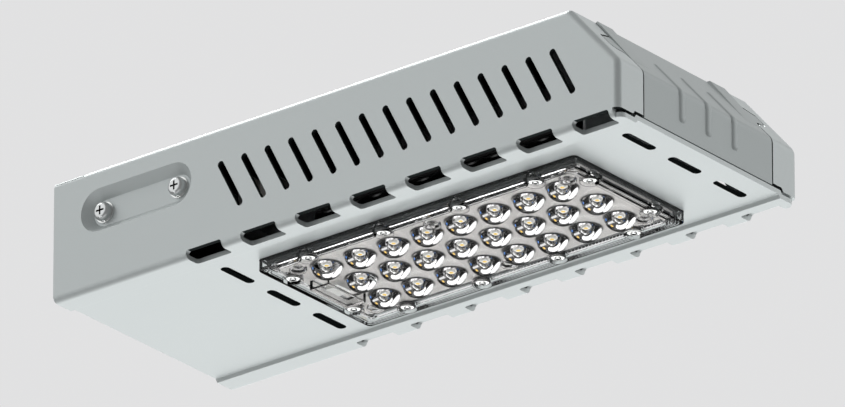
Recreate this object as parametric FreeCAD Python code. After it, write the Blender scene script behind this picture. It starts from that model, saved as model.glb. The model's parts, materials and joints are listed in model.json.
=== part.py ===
"""LED street light head: a folded aluminium housing on a pole-arm sleeve, with one lens module below.

X runs from the pole end to the nose, Y across, Z up. The light goes down. While the pieces are
drawn, X = 0 is the pole-end face, Y = 0 the middle plane and Z = 0 the lowest face of the housing.
Each piece is then lowered, so that the origin is the centre of the arm sleeve's mouth.
"""
import FreeCAD
import Part
import math
import os

V = FreeCAD.Vector

# Housing
body_length = 418.7
body_width = 166.0
body_height = 76.5
sheet = 3.0
bend_radius = 4.0
nose_break_height = 34.9
slope_run = 35.8
fold_radius_low = 8.0
fold_radius_top = 4.0
rim_width = 17.8
rim_step = 2.1
rim_run = 1.4
rim_fold_radius = 0.8
plate_inset = 3.0
plate_corner_radius = 4.5
plate_gap = 2.0
notch_length = 4.4
flange_width = 22.9
seam = 1.0
fit = 0.3
thread_fit = 0.05
socket_ratio = 0.72

# Bend openings, side slots and bottom slots
bend_opening_count = 8
bend_opening_first = 100.2
bend_opening_pitch = 40.7
bend_opening_length = 26.4
bend_opening_height = 4.9
bend_opening_reach = 10.8
bend_opening_corner = 2.0
side_slot_count = 15
side_slot_first = 126.2
side_slot_pitch = 17.5
side_slot_top = 52.0
side_slot_rise = 27.7
side_slot_lean = 14.3
side_slot_width = 3.9
bottom_slot_length = 27.5
bottom_slot_width = 6.0
bottom_slot_spacing = 42.0
bottom_slot_rear_x = 105.3
bottom_slot_front_inset = 17.4

# Side recess with its two screws
recess_x = 62.4
recess_z = 49.5
recess_length = 83.5
recess_height = 27.4
recess_draft = 5.5
recess_depth = 6.0
side_screw_inset = 13.75
side_screw_radius = 3.0
side_screw_length = 20.0
pan_head_radius = 5.75
pan_head_height = 4.4
cross_reach = 3.2
cross_width = 1.1
cross_depth = 1.8
washer_radius = 6.5
washer_thickness = 1.0

# Arm sleeve
arm_axis_z = 38.3
arm_bore_radius = 24.5
sleeve_wall = 4.0
sleeve_length = 112.0
sleeve_arm_width = 16.0
sleeve_flange_thickness = 4.0
sleeve_flange_half = (60.0, 29.0)
set_screw_radius = 4.0
set_screw_length = 7.0
set_screw_hexagon = 2.2
set_screw_x = (34.0, 84.0)
set_screw_boss_radius = 8.0

# Rear cap
rear_cap_recess = 2.6
rear_cap_thickness = 3.0
rear_flange_length = 21.5
rear_flange_thickness = 1.9
rear_flange_seam = 0.6
entry_seal_width = 2.5
rear_screw_half = (52.0, 22.0)
rear_screw_radius = 2.0

# Small cap screws, all of one size but for their length
cap_screw_head_radius = 3.6
cap_screw_head_height = 1.8
rear_screw_length = 9.0
lid_screw_length = 9.0
nose_cap_screw_length = 8.0
nose_cap_screw_y = 35.0

# Lid
lid_rear_x = 26.0
lid_front_margin = 4.4
lid_half_width = 70.0
lid_thickness = 2.0
lid_corner_radius = 8.0
lid_overlap = 8.0
lid_gasket_thickness = 1.0
lid_screw_radius = 2.0
lid_screw_rows = 4

# Nose cap
cap_thickness = 2.0
cap_reach_past_fold = 7.1
cap_lip_length = 14.0
cap_foot_gap = 0.8
ear_low_z = 49.0
ear_top_z = 61.0
ear_reach = 72.0
ear_radius = 5.0
rib_spacing = 24.3
rib_rod_radius = 5.0
rib_height = 1.2
rib_low_z = 18.0
rib_top_z = 52.8
ridge_width = 17.3
ridge_height = 1.4
ridge_slope_width = 3.5
ridge_low_z = 44.0

# Lens module
module_x = 244.8
module_length = 234.4
module_width = 102.6
module_corner_radius = 3.0
lens_drop = 7.2
lens_plate_thickness = 2.5
lens_rim_wall = 2.5
field_rise = 2.7
field_margin = (8.6, 6.7)
field_corner_radius = 4.0
field_wall = 1.5
field_gap = 0.3
seal_thickness = 0.8
window_margin = 3.4
lens_pitch = 24.86
lens_row_pitch = 26.5
lens_columns = 8
lens_rows = 3
lens_array_x = 246.3
lens_middle_row_shift = 4.4
lens_radius = 9.2
lens_height = 7.7
lens_hollow_radius = 3.2
board_rise = 4.2
led_size = 3.5
led_height = 0.8
board_thickness = 1.6
board_margin = 5.0
inlet_box_x = 146.0
inlet_box_size = (14.0, 34.0)
inlet_box_height = 3.2
inlet_box_wall = 1.5
module_screw_radius = 2.0
module_screw_length = 10.0
module_screw_head_radius = 4.1
module_screw_head_height = 2.1
module_screw_sink_radius = 5.6
module_screw_sink_depth = 2.9
module_post_radius = 6.5
module_spigot_radius = 4.6
module_screw_row_x = 55.85
module_screw_row_y = 45.4
module_screw_end_x = 109.6
module_screw_end_y = 27.85
board_screw_x = 99.5
board_screw_y = 35.5
board_screw_radius = 1.4
board_screw_length = 5.0
board_screw_head_radius = 2.6
board_screw_head_height = 1.0
board_cup_radius = 5.3
board_cup_wall = 1.0
board_cup_height = 2.0
board_hole_gap = 0.4
connector_size = (8.0, 12.0, 3.2)

# Heat sink
sink_base = 4.0
sink_half_width = 58.0
fin_count = 9
fin_thickness = 2.0
fin_height = 15.0
fin_start_x = 180.0
fin_side_margin = 8.0
rail_radius = 5.0

# Gear tray and what it carries
tray_rear_x = 113.0
tray_front_x = 375.0
tray_half_width = 66.0
tray_thickness = 1.5
tray_z = 31.0
tray_foot = 12.0
tray_foot_inset = 14.0
tray_leg_inset = 8.0
tray_lead_hole_radius = 9.0
stud_radius = 2.0
nut_radius = 3.9
nut_height = 3.0
driver_x = 262.0
driver_size = (150.0, 62.0, 31.0)
driver_corner_radius = 3.0
driver_ear = 9.0
driver_ear_width = 50.0
driver_ear_thickness = 2.0
driver_screw_y = 18.0
tray_screw_radius = 1.5
tray_screw_length = 5.0
tray_screw_head_radius = 2.8
tray_screw_head_height = 1.8
terminal_x = 137.0
terminal_y = -46.0
terminal_size = (26.0, 36.0, 17.0)
terminal_floor = 3.0
terminal_pocket = 6.8
surge_x = 146.0
surge_y = 46.0
surge_size = (44.0, 28.0, 24.0)
surge_foot = 6.0
surge_foot_thickness = 2.0
lead_radius = 2.5
lead_bend = 21.0
supply_bend = 14.0
gland_height = 11.0
gland_nut_radius = 7.0
gland_wall = 1.5

half_width = body_width / 2
nose_x = body_length
slope_top_x = nose_x - slope_run
floor_z = rim_step + sheet
slope_angle = math.atan2(body_height - nose_break_height, slope_run)
rim_angle = math.atan2(rim_step, rim_run)
cap_half_width = half_width - flange_width
cap_top_x = slope_top_x - cap_reach_past_fold
lid_front_x = cap_top_x - cap_lip_length - lid_front_margin
side_screw_spacing = recess_length - 2 * side_screw_inset


def box(x0, x1, y0, y1, z0, z1):
    return Part.makeBox(x1 - x0, y1 - y0, z1 - z0, V(x0, y0, z0))


def rod(x, y, z, radius, length, direction=V(0, 0, 1)):
    return Part.makeCylinder(radius, length, V(x, y, z), direction)


def fuse(solids):
    return solids[0].multiFuse(solids[1:]).removeSplitter() if len(solids) > 1 else solids[0]


def prism(points, vector):
    return Part.Face(Part.makePolygon(points + points[:1])).extrude(vector)


def stadium(centre, length, width, along, across, vector):
    """A prism with half-round ends: length and width are over all."""
    r = width / 2
    reach = along * (length / 2 - r)
    side = across * r
    a, b = centre - reach, centre + reach
    wire = Part.Wire([
        Part.LineSegment(a + side, b + side).toShape(),
        Part.Arc(b + side, b + along * r, b - side).toShape(),
        Part.LineSegment(b - side, a - side).toShape(),
        Part.Arc(a - side, a - along * r, a + side).toShape()])
    return wire if vector is None else Part.Face(wire).extrude(vector)


def rounded_plate(x0, x1, y0, y1, z0, z1, radius):
    plate = box(x0, x1, y0, y1, z0, z1)
    upright = [e for e in plate.Edges if abs(e.tangentAt(e.FirstParameter).z) > 0.99]
    return plate.makeFillet(radius, upright)


def both_sides(shape):
    return [shape, shape.mirror(V(0, 0, 0), V(0, 1, 0))]


def side_form(inset, back_x):
    """The side view of the head, moved in by inset and extruded across, with its edges rounded."""
    top = body_height - inset
    front = nose_x - inset
    shift = inset / math.sin(slope_angle)
    low_z = nose_break_height + (inset / math.tan(slope_angle) - shift) * math.tan(slope_angle)
    top_x = slope_top_x + inset / math.tan(slope_angle) - shift
    y = half_width - inset
    points = [V(back_x, -y, -20), V(front, -y, -20), V(front, -y, low_z), V(top_x, -y, top),
              V(back_x, -y, top)]
    solid = prism(points, V(0, 2 * y, 0))
    for radius, x, z in ((fold_radius_low, front, low_z), (fold_radius_top, top_x, top)):
        r = radius - inset
        if r > 0.2:
            edges = [e for e in solid.Edges
                     if all(abs(v.X - x) < 0.01 and abs(v.Z - z) < 0.01 for v in e.Vertexes)]
            solid = solid.makeFillet(r, edges)
    r = bend_radius - inset
    rims = [e for e in solid.Edges
            if all(abs(abs(v.Y) - y) < 0.01 for v in e.Vertexes)
            and abs(e.Vertexes[0].Y - e.Vertexes[-1].Y) < 1
            and not all(v.Z < -19 for v in e.Vertexes)
            and not all(abs(v.X - back_x) < 0.01 for v in e.Vertexes)]
    return solid.makeFillet(r, rims)


def low_line(x, lift, y):
    """The low line of the section out to y, with its two joggles, moved up into the sheet by lift."""
    kink = lift * math.tan(rim_angle / 2)
    step_in = half_width - rim_width + kink
    step_out = step_in + rim_run
    return [V(x, -y, lift), V(x, -step_out, lift), V(x, -step_in, lift + rim_step),
            V(x, step_in, lift + rim_step), V(x, step_out, lift), V(x, y, lift)]


def soften_joggles(solid, lift):
    """Round the four folds of the two joggles."""
    folds = [(point.y, point.z) for point in low_line(0, lift, half_width)[1:5]]
    edges = [e for e in solid.Edges if any(all(abs(v.Y - y) < 0.01 and abs(v.Z - z) < 0.01
                                               for v in e.Vertexes) for y, z in folds)]
    return solid.makeFillet(rim_fold_radius, edges)


def section_form(inset, x0, x1):
    """The section across the head with its two low rims, moved in by inset and run along X."""
    y = half_width - inset
    r = bend_radius - inset
    top = body_height + 20
    outline = [V(x0, -y, top)] + low_line(x0, inset, y) + [V(x0, y, top)]
    solid = prism(outline, V(x1 - x0, 0, 0))
    corners = [e for e in solid.Edges
               if all(abs(abs(v.Y) - y) < 0.01 and abs(v.Z - inset) < 0.01 for v in e.Vertexes)]
    return soften_joggles(solid.makeFillet(r, corners), inset)


def under_line(lift, x0, x1):
    """All that lies below the low line, moved up by lift."""
    y = half_width + 1
    outline = [V(x0, -y, -1)] + low_line(x0, lift, y) + [V(x0, y, -1)]
    return soften_joggles(prism(outline, V(x1 - x0, 0, 0)), lift)


def body_form(inset, back_x=0.0):
    return side_form(inset, back_x).common(section_form(inset, back_x, body_length))


def nose_opening(gap):
    """The outline of the nose cap seen along X, narrower than the opening by gap."""
    y = cap_half_width - gap
    reach = ear_reach - gap
    r = ear_radius
    low = ear_low_z + gap
    top = ear_top_z - gap
    z0 = floor_z + cap_foot_gap
    z1 = body_height + 5
    k = r * (1 - math.sqrt(0.5))
    half = [(y, z0), (y, low - r), (y + k, low - k), (y + r, low), (reach - r, low),
            (reach - k, low + k), (reach, low + r), (reach, top - 1), (y, top + 3), (y, z1)]
    edges = []
    for s in (1, -1):
        p = [V(cap_top_x, s * a, b) for a, b in half]
        edges += [Part.LineSegment(p[0], p[1]).toShape(), Part.Arc(p[1], p[2], p[3]).toShape(),
                  Part.LineSegment(p[3], p[4]).toShape(), Part.Arc(p[4], p[5], p[6]).toShape(),
                  Part.LineSegment(p[6], p[7]).toShape(), Part.LineSegment(p[7], p[8]).toShape(),
                  Part.LineSegment(p[8], p[9]).toShape()]
    edges += [Part.LineSegment(V(cap_top_x, -y, z), V(cap_top_x, y, z)).toShape() for z in (z0, z1)]
    wire = Part.Wire(Part.__sortEdges__(edges))
    return Part.Face(wire).extrude(V(body_length + 1 - cap_top_x, 0, 0))


def side_slots():
    along = V(side_slot_lean, 0, -side_slot_rise)
    length = along.Length + side_slot_width
    along.normalize()
    across = V(along.z, 0, -along.x)
    slots = []
    for i in range(side_slot_count):
        x = side_slot_first + i * side_slot_pitch + side_slot_lean / 2
        centre = V(x, -half_width - 1, side_slot_top - side_slot_rise / 2)
        slots.append(stadium(centre, length, side_slot_width, along, across, V(0, body_width + 2, 0)))
    return slots


def bend_openings():
    cutters = []
    for i in range(bend_opening_count):
        x = bend_opening_first + i * bend_opening_pitch
        cutter = box(x, x + bend_opening_length, -half_width - 1, -half_width + bend_opening_reach,
                     -1, bend_opening_height)
        corners = [e for e in cutter.Edges
                   if (abs(e.tangentAt(e.FirstParameter).z) > 0.99 and e.Vertexes[0].Y > -half_width)
                   or (abs(e.tangentAt(e.FirstParameter).y) > 0.99 and e.Vertexes[0].Z > 0)]
        cutters += both_sides(cutter.makeFillet(bend_opening_corner, corners))
    return cutters


def bottom_slots():
    slots = []
    for x in (bottom_slot_rear_x, body_length - bottom_slot_front_inset):
        for row in (-1, 0, 1):
            centre = V(x, row * bottom_slot_spacing, -1)
            slots.append(stadium(centre, bottom_slot_length, bottom_slot_width, V(0, 1, 0),
                                 V(1, 0, 0), V(0, 0, floor_z + 2)))
    return slots


def recess(grow, side):
    """The pressed oval, as a draft from its mouth to its floor; grow adds the sheet round it."""
    y_mouth = side * (half_width + (0.0 if grow else 0.01))
    y_floor = side * (half_width - recess_depth - grow)
    mouth = stadium(V(recess_x, y_mouth, recess_z), recess_length + 2 * grow,
                    recess_height + 2 * grow, V(1, 0, 0), V(0, 0, 1), None)
    floor = stadium(V(recess_x, y_floor, recess_z), recess_length - 2 * recess_draft + 2 * grow,
                    recess_height - 2 * recess_draft + 2 * grow, V(1, 0, 0), V(0, 0, 1), None)
    return Part.makeLoft([mouth, floor], True, True)


def side_screw_places():
    return [(recess_x + s * side_screw_spacing / 2, side) for side in (-1, 1) for s in (-1, 1)]


def lid_screw_places():
    inset = lid_overlap / 2
    run = lid_front_x - lid_rear_x - 2 * inset
    step = run / (lid_screw_rows - 1)
    return [(lid_rear_x + inset + i * step, s * (lid_half_width - inset))
            for i in range(lid_screw_rows) for s in (-1, 1)]


def tray_foot_places():
    return [(x, s * (tray_half_width - tray_foot_inset))
            for x in (tray_rear_x + tray_foot / 2, tray_front_x - tray_foot / 2) for s in (-1, 1)]


def cap_screw_places():
    return [(cap_top_x - cap_lip_length / 2 - 1.5, s * nose_cap_screw_y) for s in (-1, 1)]


def make_housing():
    shell = body_form(0).cut(body_form(sheet, -10))
    notch_x = nose_x - notch_length
    shell = shell.cut(under_line(sheet + plate_gap, notch_x, body_length + 1))
    tongue = under_line(sheet, notch_x - 0.5, body_length).cut(under_line(0, notch_x - 1, body_length + 1))
    y = half_width - plate_inset
    outline = rounded_plate(nose_x / 2, body_length, -y, y, -2, floor_z + 1, plate_corner_radius)
    shell = shell.fuse(tongue.common(outline))
    shell = shell.cut(nose_opening(0).common(box(cap_top_x, body_length + 1, -half_width, half_width,
                                                 floor_z + 0.5, body_height + 5)))
    inside = half_width - sheet
    shell = shell.cut(box(-1, rear_flange_length + rear_flange_seam, -inside, inside,
                          body_height - sheet - 1, body_height + 1))
    shell = shell.cut(box(-1, rear_flange_length + rear_flange_seam, -half_width, half_width,
                          body_height - rear_flange_thickness - rear_flange_seam, body_height + 1))
    opening = lid_half_width - lid_overlap
    shell = shell.cut(rounded_plate(lid_rear_x + lid_overlap, lid_front_x - lid_overlap, -opening,
                                    opening, body_height - sheet - 1, body_height + 1,
                                    lid_corner_radius))
    half_window = module_width / 2 - window_margin
    window_reach = module_length / 2 - window_margin
    shell = shell.cut(rounded_plate(module_x - window_reach, module_x + window_reach, -half_window,
                                    half_window, -1, floor_z + 1, 2.0))
    for side in (-1, 1):
        shell = shell.fuse(recess(sheet, side).common(body_form(0.5))).cut(recess(0, side))
    cutters = side_slots() + bend_openings() + bottom_slots()
    cutters += [rod(x, side * (half_width + 1), recess_z, side_screw_radius + fit, 14,
                    V(0, -side, 0)) for x, side in side_screw_places()]
    cutters += [rod(x, a, body_height - sheet - 1, lid_screw_radius + thread_fit, sheet + 2)
                for x, a in lid_screw_places()]
    cutters += [rod(x, a, body_height - sheet - 1, lid_screw_radius + fit, sheet + 2)
                for x, a in cap_screw_places()]
    shell = shell.cut(Part.makeCompound(cutters))
    studs = [rod(x, a, floor_z - 1, stud_radius, 8) for x, a in tray_foot_places()]
    return shell.fuse(Part.makeCompound(studs)).removeSplitter()


def make_nose_cap():
    form = body_form(0)
    skin = form.cut(body_form(cap_thickness, -10)).common(nose_opening(seam))
    lip_low = body_height - sheet - fit - cap_thickness
    y = cap_half_width - seam
    lip = box(cap_top_x - cap_lip_length, cap_top_x + seam + cap_thickness, -y, y, lip_low,
              lip_low + cap_thickness)
    web = box(cap_top_x + seam, cap_top_x + seam + cap_thickness, -y, y, lip_low, body_height)
    skin = skin.cut(box(cap_top_x - 1, cap_top_x + seam, -half_width, half_width, 0, body_height + 1))
    ribs = [cap_rib(k * rib_spacing) for k in (-1, 0, 1)]
    ridges = both_sides(cap_ridge())
    cap = fuse([skin, lip.fuse(web)] + ribs + ridges)
    holes = [rod(x, a, lip_low - 1, lid_screw_radius + thread_fit, cap_thickness + 2)
             for x, a in cap_screw_places()]
    return cap.cut(Part.makeCompound(holes))


def cap_rib(y):
    """A round bead that follows the face and the slope, sunk so that rib_height stands out."""
    sunk = rib_rod_radius - rib_height
    radius = fold_radius_low - sunk
    reach = math.tan((math.pi / 2 - slope_angle) / 2)
    front = nose_x - sunk
    turn = math.pi / 2 - slope_angle
    shift = sunk / math.sin(slope_angle)
    fold_z = nose_break_height + (sunk / math.tan(slope_angle) - shift) * math.tan(slope_angle)
    tangent = radius * reach
    up = V(-math.cos(slope_angle), 0, math.sin(slope_angle))
    corner = V(front, y, fold_z)
    low = V(front, y, rib_low_z)
    high = corner + up * ((rib_top_z - fold_z) / up.z)
    start = corner - V(0, 0, tangent)
    end = corner + up * tangent
    centre = start - V(radius, 0, 0)
    middle = centre + V(radius * math.cos(turn / 2), 0, radius * math.sin(turn / 2))
    path = Part.Wire([Part.LineSegment(low, start).toShape(),
                      Part.Arc(start, middle, end).toShape(),
                      Part.LineSegment(end, high).toShape()])
    ring = Part.Wire(Part.makeCircle(rib_rod_radius, low, V(0, 0, 1)))
    bead = path.makePipeShell([ring], True, True)
    ends = [Part.makeSphere(rib_rod_radius, low), Part.makeSphere(rib_rod_radius, high)]
    solid = fuse([bead] + ends)
    return solid.cut(body_form(cap_thickness / 2, -10))


def cap_ridge():
    """The wedge along each side of the cap: level low down, standing out at the top fold."""
    up = V(-math.cos(slope_angle), 0, math.sin(slope_angle))
    out = V(math.sin(slope_angle), 0, math.cos(slope_angle))
    corner = V(nose_x, 0, nose_break_height)
    y1 = cap_half_width - seam
    y0 = y1 - ridge_width
    sections = []
    for z, height in ((ridge_low_z, 0.05), (body_height - 1.2, ridge_height)):
        foot = corner + up * ((z - nose_break_height) / up.z)
        base = foot - out * 1.2
        crest = foot + out * height
        sections.append(Part.makePolygon([
            base + V(0, y0, 0), base + V(0, y1, 0), crest + V(0, y1, 0),
            crest + V(0, y0 + ridge_slope_width, 0), base + V(0, y0, 0)]))
    return Part.makeLoft(sections, True, True)


def make_rear_cap():
    x0 = rear_cap_recess
    x1 = x0 + rear_cap_thickness
    top = body_height - rear_flange_thickness
    plate = section_form(sheet + fit, x0, x1).common(
        box(x0, x1, -half_width, half_width, 0, top + 0.5))
    flange = body_form(0).common(box(0, rear_flange_length, -half_width, half_width, top, body_height))
    cap = plate.fuse(flange)
    sleeve_radius = arm_bore_radius + sleeve_wall
    cap = cap.cut(rod(-1, 0, arm_axis_z, sleeve_radius + entry_seal_width, 12, V(1, 0, 0)))
    holes = [rod(-1, y, z, rear_screw_radius + fit, 12, V(1, 0, 0)) for y, z in rear_screw_places()]
    return cap.cut(Part.makeCompound(holes)).removeSplitter()


def rear_screw_places():
    dy, dz = rear_screw_half
    return [(sy * dy, arm_axis_z + sz * dz) for sy in (-1, 1) for sz in (-1, 1)]


def make_entry_seal():
    inner = arm_bore_radius + sleeve_wall + 0.05
    outer = arm_bore_radius + sleeve_wall + entry_seal_width - 0.05
    x0 = rear_cap_recess
    ring = rod(x0, 0, arm_axis_z, outer, rear_cap_thickness, V(1, 0, 0))
    bead = rod(x0 - 1.0, 0, arm_axis_z, outer + 1.2, 0.95, V(1, 0, 0))
    hole = rod(x0 - 3, 0, arm_axis_z, inner, 12, V(1, 0, 0))
    return ring.fuse(bead.fuse(rod(x0 - 0.5, 0, arm_axis_z, outer, 1, V(1, 0, 0)))).cut(hole)


def make_arm_sleeve():
    outer = arm_bore_radius + sleeve_wall
    along = V(1, 0, 0)
    tube = rod(0, 0, arm_axis_z, outer, sleeve_length, along)
    x0 = rear_cap_recess + rear_cap_thickness + 0.1
    dy, dz = sleeve_flange_half
    flange = box(x0, x0 + sleeve_flange_thickness, -dy, dy, arm_axis_z - dz, arm_axis_z + dz)
    upright = [e for e in flange.Edges if abs(e.tangentAt(e.FirstParameter).x) > 0.99]
    flange = flange.makeFillet(6, upright)
    pad_face = half_width - recess_depth - sheet - fit
    arms = []
    for x, side in side_screw_places():
        w = sleeve_arm_width / 2
        y0, y1 = sorted((side * arm_bore_radius * 0.75, side * pad_face))
        arms.append(box(x - w, x + w, y0, y1, recess_z - w, recess_z + w))
    bosses = [rod(x, 0, arm_axis_z + arm_bore_radius + 1, set_screw_boss_radius, sleeve_wall + 2.0)
              for x in set_screw_x]
    sleeve = fuse([tube, flange] + arms + bosses)
    cuts = [rod(-1, 0, arm_axis_z, arm_bore_radius, sleeve_length + 2, along)]
    cuts += [rod(x, side * (half_width - 4), recess_z, side_screw_radius + thread_fit, 32,
                 V(0, -side, 0)) for x, side in side_screw_places()]
    cuts += [rod(x, 0, arm_axis_z + 10, set_screw_radius + thread_fit, 30) for x in set_screw_x]
    cuts += [rod(-1, y, z, rear_screw_radius + thread_fit, 20, along) for y, z in rear_screw_places()]
    return sleeve.cut(Part.makeCompound(cuts))


def socket_head(x, y, z, direction, radius, height, socket_radius):
    """A cheese head with a hexagon socket, standing on a face and reaching out along direction."""
    head = rod(x, y, z, radius, height, direction)
    hexagon = []
    normal = V(direction)
    side = V(1, 0, 0) if abs(normal.x) < 0.5 else V(0, 1, 0)
    other = normal.cross(side)
    top = V(x, y, z) + normal * (height + 0.01)
    for i in range(6):
        angle = math.radians(60 * i)
        hexagon.append(top + (side * math.cos(angle) + other * math.sin(angle)) * socket_radius)
    return head.cut(prism(hexagon, normal * (-0.6 * height)))


def screw(x, y, z, direction, radius, length, head_radius, head_height):
    """A screw: its head stands on the point, its shank goes back from it."""
    shank = rod(x, y, z, radius, length, direction * -1)
    return shank.fuse(socket_head(x, y, z, direction, head_radius, head_height,
                                  radius * socket_ratio))


def pan_head_screw(x, side):
    """A screw with a pan head and a cross in it, on its washer in the side recess."""
    seat = half_width - recess_depth + washer_thickness
    out = V(0, side, 0)
    base = V(x, side * seat, recess_z)
    head = rod(base.x, base.y, base.z, pan_head_radius, pan_head_height, out)
    rim = [e for e in head.Edges if len(e.Vertexes) == 1
           and abs(abs(e.Vertexes[0].Y) - seat - pan_head_height) < 0.01]
    head = head.makeFillet(pan_head_height * 0.55, rim)
    top = seat + pan_head_height
    for a, b in ((cross_reach, cross_width / 2), (cross_width / 2, cross_reach)):
        y0, y1 = sorted((side * (top - cross_depth), side * (top + 1)))
        head = head.cut(box(x - a, x + a, y0, y1, recess_z - b, recess_z + b))
    return head.fuse(rod(base.x, base.y, base.z, side_screw_radius, side_screw_length, out * -1))


def hexagon_ring(x, y, z, radius):
    return [V(x + radius * math.cos(a), y + radius * math.sin(a), z)
            for a in [math.radians(60 * i) for i in range(6)]]


def make_side_washers():
    rings = []
    for x, side in side_screw_places():
        y = side * (half_width - recess_depth)
        ring = rod(x, y, recess_z, washer_radius, washer_thickness, V(0, side, 0))
        rings.append(ring.cut(rod(x, y - side, recess_z, side_screw_radius + fit, 4, V(0, side, 0))))
    return Part.makeCompound(rings)


def make_set_screws():
    z0 = arm_axis_z + arm_bore_radius + 0.4
    screws = []
    for x in set_screw_x:
        body = rod(x, 0, z0, set_screw_radius, set_screw_length)
        socket = hexagon_ring(x, 0, z0 + set_screw_length + 0.01, set_screw_hexagon)
        screws.append(body.cut(prism(socket, V(0, 0, -set_screw_length / 2))))
    return Part.makeCompound(screws)


def make_lid():
    z = body_height + lid_gasket_thickness
    lid = rounded_plate(lid_rear_x, lid_front_x, -lid_half_width, lid_half_width, z,
                        z + lid_thickness, lid_corner_radius)
    holes = [rod(x, y, z - 1, lid_screw_radius + fit, lid_thickness + 2)
             for x, y in lid_screw_places()]
    return lid.cut(Part.makeCompound(holes))


def make_lid_gasket():
    z0 = body_height
    z1 = z0 + lid_gasket_thickness
    outer = rounded_plate(lid_rear_x, lid_front_x, -lid_half_width, lid_half_width, z0, z1,
                          lid_corner_radius)
    inset = lid_overlap
    y = lid_half_width - inset
    inner = rounded_plate(lid_rear_x + inset, lid_front_x - inset, -y, y, z0 - 1, z1 + 1,
                          lid_corner_radius)
    holes = [rod(x, y0, z0 - 1, lid_screw_radius + fit, 4) for x, y0 in lid_screw_places()]
    return outer.cut(Part.makeCompound([inner] + holes))


def lens_places():
    places = []
    for row in range(lens_rows):
        y = (row - (lens_rows - 1) / 2) * lens_row_pitch
        shift = lens_middle_row_shift if row % 2 else 0.0
        for column in range(lens_columns):
            x = lens_array_x + shift + (column - (lens_columns - 1) / 2) * lens_pitch
            places.append((x, y))
    return places


def module_screw_places():
    places = [(module_x + (i - 1.5) * module_screw_row_x, s * module_screw_row_y)
              for i in range(4) for s in (-1, 1)]
    places += [(module_x + a * module_screw_end_x, b * module_screw_end_y)
               for a in (-1, 1) for b in (-1, 1)]
    return places


def board_screw_places():
    return [(module_x + i * board_screw_x, s * board_screw_y) for i in (-1, 0, 1) for s in (-1, 1)]


lens_low_z = rim_step - lens_drop
lens_high_z = rim_step - seal_thickness
board_low_z = lens_low_z + board_rise
board_high_z = board_low_z + board_thickness
field_low_z = lens_low_z + field_rise
field_high_z = board_low_z - field_gap


def lens_dome(x, y):
    """A round lens below the field, as a few straight bands round its axis."""
    profile = [V(x, y, field_low_z + 0.5), V(x + lens_radius, y, field_low_z + 0.5)]
    for angle in (0, 28, 50, 70):
        a = math.radians(angle)
        profile.append(V(x + lens_radius * math.cos(a), y, field_low_z - lens_height * math.sin(a)))
    profile.append(V(x, y, field_low_z - lens_height))
    face = Part.Face(Part.makePolygon(profile + profile[:1]))
    return face.revolve(V(x, y, 0), V(0, 0, 1), 360)


def field_form(grow, z0, z1):
    """The block of the thin field between the borders, grown sideways by grow."""
    x = module_length / 2 - field_margin[0] + grow
    y = module_width / 2 - field_margin[1] + grow
    return rounded_plate(module_x - x, module_x + x, -y, y, z0, z1, field_corner_radius + grow)


def make_lens_plate():
    """A thick border with a wall up to the seal, and a thin field with the lenses, close to the board."""
    x0 = module_x - module_length / 2
    x1 = module_x + module_length / 2
    y = module_width / 2
    outer = rounded_plate(x0, x1, -y, y, lens_low_z, lens_high_z, module_corner_radius)
    wall = lens_rim_wall
    hollow = box(x0 + wall, x1 - wall, -y + wall, y - wall, lens_low_z + lens_plate_thickness,
                 lens_high_z + 1)
    plate = outer.cut(hollow).fuse(field_form(field_wall, lens_low_z, field_high_z))
    plate = plate.cut(field_form(0, lens_low_z - 1, field_low_z))
    dx, dy = inlet_box_size
    box_low_z = lens_low_z - inlet_box_height
    cover = box(inlet_box_x - dx / 2, inlet_box_x + dx / 2, -dy / 2, dy / 2, box_low_z, field_high_z)
    screws = module_screw_places()
    posts = [rod(px, py, lens_low_z, module_post_radius, field_high_z - lens_low_z).common(outer)
             for px, py in screws]
    posts += [rod(px, py, lens_low_z, module_spigot_radius, board_high_z - lens_low_z - 0.05)
              for px, py in screws]
    cup_low_z = field_low_z - board_cup_height
    cups = [rod(px, py, cup_low_z, board_cup_radius, field_high_z - cup_low_z)
            for px, py in board_screw_places()]
    domes = [lens_dome(px, py) for px, py in lens_places()]
    plate = plate.fuse([cover] + posts + cups + domes)
    dx -= 2 * inlet_box_wall
    dy -= 2 * inlet_box_wall
    cuts = [box(inlet_box_x - dx / 2, inlet_box_x + dx / 2, -dy / 2, dy / 2,
                box_low_z + inlet_box_wall, field_high_z + 1)]
    cuts += [rod(px, py, lens_low_z - 1, module_screw_radius + 0.15, 12) for px, py in screws]
    cuts += [rod(px, py, lens_low_z - 1, module_screw_sink_radius, module_screw_sink_depth + 1)
             for px, py in screws]
    cuts += [rod(px, py, cup_low_z + board_cup_wall, board_cup_radius - board_cup_wall, 8)
             for px, py in board_screw_places()]
    cuts += [Part.makeSphere(lens_hollow_radius, V(px, py, field_high_z)) for px, py in lens_places()]
    return plate.cut(Part.makeCompound(cuts))


def make_module_seal():
    x = module_length / 2
    y = module_width / 2
    z0, z1 = lens_high_z, rim_step
    outer = rounded_plate(module_x - x, module_x + x, -y, y, z0, z1, module_corner_radius)
    w = lens_rim_wall
    return outer.cut(box(module_x - x + w, module_x + x - w, -y + w, y - w, z0 - 1, z1 + 1))


def board_outline(z0, z1, margin):
    x = module_length / 2 - margin
    y = module_width / 2 - margin
    return box(module_x - x, module_x + x, -y, y, z0, z1)


def make_board():
    board = board_outline(board_low_z, board_high_z, board_margin)
    cuts = [rod(x, y, board_low_z - 1, module_spigot_radius + board_hole_gap, 5)
            for x, y in module_screw_places()]
    cuts += [rod(x, y, board_low_z - 1, board_screw_radius + 0.2, 5) for x, y in board_screw_places()]
    return board.cut(Part.makeCompound(cuts))


def make_leds():
    h = led_size / 2
    return Part.makeCompound([box(x - h, x + h, y - h, y + h, board_low_z - led_height, board_low_z)
                              for x, y in lens_places()])


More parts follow.
